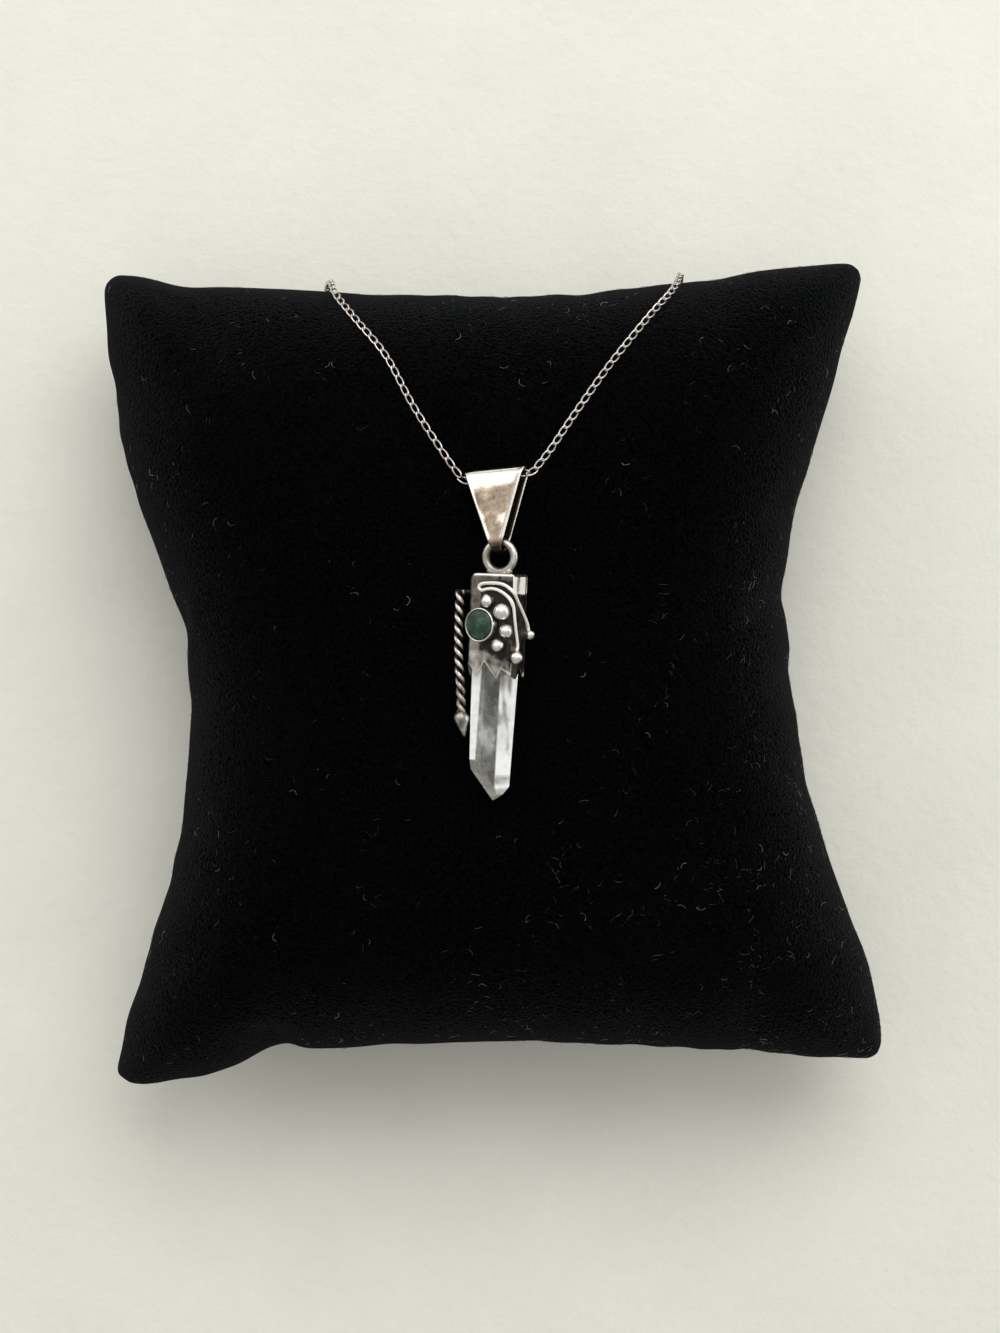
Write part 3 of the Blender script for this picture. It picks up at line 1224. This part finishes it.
def clouding(p, out):
    """How milky and how stained the quartz is, at a place on a face that looks outwards."""
    facing = math.degrees(math.atan2(out.x, out.z))
    wisp = noise.noise(Vector((p.x * 0.5, p.y * 0.22, p.z * 0.5)) + Vector((4, 2, 7)))
    wisp += 0.5 * noise.noise(p * 0.9)
    low = float(ramp(-p.y, 25.5, 28))
    neck = float(1 - ramp(-p.y, 16.5, 19))
    # The slanting faces of the tip, browner at its very end
    if out.y < -0.3:
        shares = {0: (0.33, 0.6), 1: (0.04, 0.75), 2: (0.7, 0.2)}
        tip = float(ramp(-p.y, CRYSTAL_REACH - 2.2, CRYSTAL_REACH - 1.4))
        cloud, brown = shares.get(face_number(facing), (0.3, 0.2))
        return cloud + (0.5 - cloud) * tip, brown + (0.5 - brown) * tip
    # The left side, white all the way
    if face_number(facing) == 0:
        return 0.93 - 0.12 * neck, 0.02
    # The front, clear with a veil halfway down
    if face_number(facing) == 1:
        veil = float(ramp(wisp, -0.15, 0.45) * ramp(-p.y, 17.5, 21) * (1 - ramp(-p.y, 25, 29)))
        patch = float(ramp(-p.y, 29.9, 30.5))
        return 0.03 + 0.3 * veil - 0.03 * patch, 0.05 + 0.2 * low + 0.6 * patch
    # The right side, milky with clear patches, and a clear band near its end
    if face_number(facing) == 2:
        patch = noise.noise(Vector((p.x, p.y * 0.35, p.z * 0.8)) + Vector((1, 5, 2)))
        cloud = 0.8 + 0.2 * low - 0.5 * float(ramp(patch, -0.05, 0.35)) * (1 - low)
        band = float(ramp(-p.y, 30.5, 30.7) * (1 - ramp(-p.y, 31.3, 31.5)))
        tip = float(ramp(-p.y, 32.2, 32.6))
        brown = 0.45 * neck * float(ramp(patch, -0.3, 0.2))
        return cloud - 0.65 * band - 0.4 * tip, brown + 0.15 * band + 0.4 * tip
    return 0.3 + 0.2 * wisp, 0.05


def face_number(facing):
    """Which of the three front sides of the quartz looks this way, or None."""
    for number, (low, high) in enumerate(((-12, 12), (12, 44), (44, 95))):
        if low <= facing < high:
            return number
    return None


def make_crystal():
    """The quartz point: the part's own planes, with finely worn edges and milky sides."""
    cut = bmesh.new()
    cut.from_mesh(frame["nodes"]["crystal_point"].data)
    bmesh.ops.remove_doubles(cut, verts=cut.verts, dist=0.002 * MM)
    bmesh.ops.dissolve_limit(cut, angle_limit=math.radians(0.8), verts=cut.verts, edges=cut.edges)
    bmesh.ops.bevel(cut, geom=cut.edges[:], offset=WORN_EDGE * MM, segments=2, affect="EDGES",
                    clamp_overlap=True)
    bmesh.ops.recalc_face_normals(cut, faces=cut.faces)
    bmesh.ops.triangulate(cut, faces=cut.faces)
    # Small cells, so that the clouding has corners to sit on
    for _ in range(6):
        long = [e for e in cut.edges if e.calc_length() > QUARTZ_CELL * MM]
        bmesh.ops.subdivide_edges(cut, edges=long, cuts=1, use_grid_fill=True)
        bmesh.ops.triangulate(cut, faces=cut.faces)
    made = bpy.data.meshes.new("quartz_point")
    cut.to_mesh(made)
    cut.free()
    crystal = bpy.data.objects.new("quartz_point", made)
    bpy.context.scene.collection.objects.link(crystal)
    undo = (TO_METRES @ ON_PENDANT).inverted()
    milk, stain = [], []
    for face in made.polygons:
        out = (undo.to_3x3() @ face.normal).normalized()
        for corner in face.vertices:
            cloud, brown = clouding(undo @ made.vertices[corner].co, out)
            milk.append(cloud)
            stain.append(brown)
    for label, values in (("milk", milk), ("stain", stain)):
        held = made.attributes.new(label, "FLOAT", "CORNER")
        held.data.foreach_set("value", values)
    shade_smooth(made, False)
    made.materials.append(quartz())
    return hand_over(crystal, "clear_quartz", "crystal_point")


# Lint on the velvet
LINT_PER_CM2 = 110
LINT_THICK = 0.055
PER_CM2 = 1e4
LINT_LENGTHS = (0.1, 1.5)
LINT_LIFT = 0.05


def lint_tree(material):
    """Short bent fibres and specks strewn over the velvet, flat on its pile."""
    nodes = Nodes("lint", Density=LINT_PER_CM2 * PER_CM2, Thickness=LINT_THICK * MM,
                  Shortest=LINT_LENGTHS[0], Longest=LINT_LENGTHS[1], Lift=LINT_LIFT * MM, Seed=11)
    given = nodes.given
    density = nodes.times(given["Density"], nodes.attribute("dusty", "FLOAT"))
    strewn = nodes.node("GeometryNodeDistributePointsOnFaces",
                        {"Mesh": given["Geometry"], "Density": density, "Seed": given["Seed"]})
    rise = {0: strewn["Normal"], "Scale": given["Lift"]}
    lift = nodes.node("ShaderNodeVectorMath", rise, operation="SCALE")[0]
    points = nodes.node("GeometryNodeSetPosition", {"Geometry": strewn["Points"], "Offset": lift})[0]
    arc = nodes.node("GeometryNodeCurveQuadraticBezier", {
        "Resolution": 3, "Start": (-0.5 * MM, 0, 0), "Middle": (0.05 * MM, 0.7 * MM, 0.12 * MM),
        "End": (0.5 * MM, -0.1 * MM, 0),
    })[0]
    thin = nodes.circle(3, nodes.times(given["Thickness"], 0.5))
    shape = {"Curve": arc, "Profile Curve": thin, "Fill Caps": True}
    fibre = nodes.node("GeometryNodeCurveToMesh", shape)[0]
    # Most fibres are short specks, and few are long
    grown = nodes.math("POWER", nodes.random(0.0, 1.0, 1.0), 6.0)
    sizes = {"Value": grown, "To Min": given["Shortest"], "To Max": given["Longest"]}
    length = nodes.node("ShaderNodeMapRange", sizes)[0]
    width = nodes.math("POWER", length, 0.25)
    bend = nodes.random(-1.0, 1.0, 3.0)
    bent = nodes.times(nodes.math("ADD", nodes.times(bend, bend), 0.12), length)
    scale = nodes.node("ShaderNodeCombineXYZ", {"X": length, "Y": bent, "Z": width})[0]
    turned = nodes.turned(strewn["Rotation"], "Z", nodes.random(0.0, math.tau, 2.0))
    places = {"Points": points, "Instance": fibre, "Rotation": turned, "Scale": scale}
    nodes.end(nodes.node("GeometryNodeInstanceOnPoints", places)[0], material)
    return nodes


def make_lint(pillow):
    """Strews lint on a copy of the pillow's skin: more on its right and lower right."""
    lint_piece = bpy.data.objects.new("lint_fibres", pillow.data.copy())
    bpy.context.scene.collection.objects.link(lint_piece)
    co = np.array([v.co for v in lint_piece.data.vertices])
    right = ramp(co[:, 0], -30 * MM, 50 * MM)
    lower = 1 - ramp(co[:, 1], -60 * MM, 20 * MM)
    clumps = np.array([noise.noise(Vector(p) / (9 * MM)) for p in co])
    dusty = (0.35 + 0.5 * right + 0.5 * right * lower) * ramp(clumps, -0.35, 0.5)
    dusty *= np.where(co[:, 2] > 0.4 * SEAM_Z * MM, 1.0, 0.0)
    dusty *= clear_of_jewel(co) ** 2
    held = lint_piece.data.attributes.new("dusty", "FLOAT", "POINT")
    held.data.foreach_set("value", dusty.astype(np.float32))
    lint_tree(lint()).run(lint_piece)
    return hand_over(lint_piece, "black_velvet")


# Stage, lights and camera
CAMERA_AT = (0.0010, 0.00115, 0.398)
LENS = 63.3
WINDOW_WAY = (-0.1, 0.9, 0.4)
ROOM_GLOW = (0.41, 0.73)
FLOOR_HALF = 0.9


def make_stage():
    """The pale sheet of paper that the pillow lies on."""
    sheet = Mesh()
    low = -0.05 * MM
    corners = [(x * FLOOR_HALF, y * FLOOR_HALF, low) for x, y in ((-1, -1), (1, -1), (1, 1), (-1, 1))]
    sheet.add(corners, [[0, 1, 2, 3]])
    floor = piece("floor", sheet)
    floor.data.materials.append(paper())


def lamp(name, place, aim, size, power, colour=(1, 1, 1)):
    """A soft rectangular lamp, size and place in metres."""
    light = bpy.data.lights.new(name, "AREA")
    light.shape = "RECTANGLE"
    light.size, light.size_y = size
    light.energy = power
    light.color = colour
    thing = bpy.data.objects.new(name, light)
    thing.location = place
    away = Vector(place) - Vector(aim)
    thing.rotation_euler = away.to_track_quat("Z", "Y").to_euler()
    bpy.context.scene.collection.objects.link(thing)


def make_light():
    """A pale room, brighter towards its window, and four soft lamps."""
    world = bpy.data.worlds.new("pale room")
    bpy.context.scene.world = world
    world.use_nodes = True
    tree = world.node_tree
    way = tree.nodes.new("ShaderNodeTexCoord").outputs["Generated"]
    towards = tree.nodes.new("ShaderNodeVectorMath")
    towards.operation = "DOT_PRODUCT"
    towards.inputs[1].default_value = Vector(WINDOW_WAY).normalized()
    tree.links.new(way, towards.inputs[0])
    glow = tree.nodes.new("ShaderNodeMapRange")
    for socket, value in zip(("From Min", "From Max", "To Min", "To Max"), (-0.4, 0.9, *ROOM_GLOW)):
        glow.inputs[socket].default_value = value
    tree.links.new(towards.outputs["Value"], glow.inputs["Value"])
    air = tree.nodes["Background"]
    air.inputs["Color"].default_value = (0.965, 0.955, 0.905, 1)
    tree.links.new(glow.outputs["Result"], air.inputs["Strength"])
    middle = (0, 0, 0.03)
    lamp("window above", (0.22, 0.62, 0.75), middle, (0.9, 0.6), 5.6, (1.0, 0.995, 0.96))
    lamp("ceiling", (0, 0.1, 1.2), middle, (1.0, 1.0), 1.2, (1.0, 1.0, 0.97))
    lamp("window left", (-0.66, 0.42, 0.42), middle, (0.6, 0.45), 1.15, (0.99, 1.0, 0.99))
    lamp("window right", (0.75, 0.12, 0.22), middle, (0.5, 0.3), 0.8, (1.0, 1.0, 0.98))


def make_camera():
    lens = bpy.data.cameras.new("camera")
    lens.lens = LENS
    lens.sensor_width = 36
    lens.clip_start = 0.01
    camera = bpy.data.objects.new("camera", lens)
    camera.location = CAMERA_AT
    bpy.context.scene.collection.objects.link(camera)
    bpy.context.scene.camera = camera


def main():
    """Builds the scene: stage first, then the pillow, the chain and the pendant."""
    make_camera()
    make_light()
    make_stage()
    pillow = make_pillow()
    make_lint(pillow)
    chain_metal = silver("chain silver", (0.62, 0.58, 0.56), (0.3, 0.26, 0.25), (0.06, 0.05, 0.05), 2.0,
                         (0.25, 0.5))
    make_chain(chain_metal)
    make_clasp(chain_metal)
    make_bail(silver("bail silver", (0.95, 0.92, 0.86), (0.4, 0.32, 0.24), (0.04, 0.03, 0.025), 0.9,
                     (0.12, 0.45)))
    make_cap(silver("cap silver", (0.9, 0.87, 0.83), (0.42, 0.395, 0.35), (0.03, 0.026, 0.025), 1.1,
                    (0.2, 0.5)))
    make_crystal()
    make_green_stone()


main()
scene = bpy.context.scene
scene.view_settings.view_transform = "Standard"
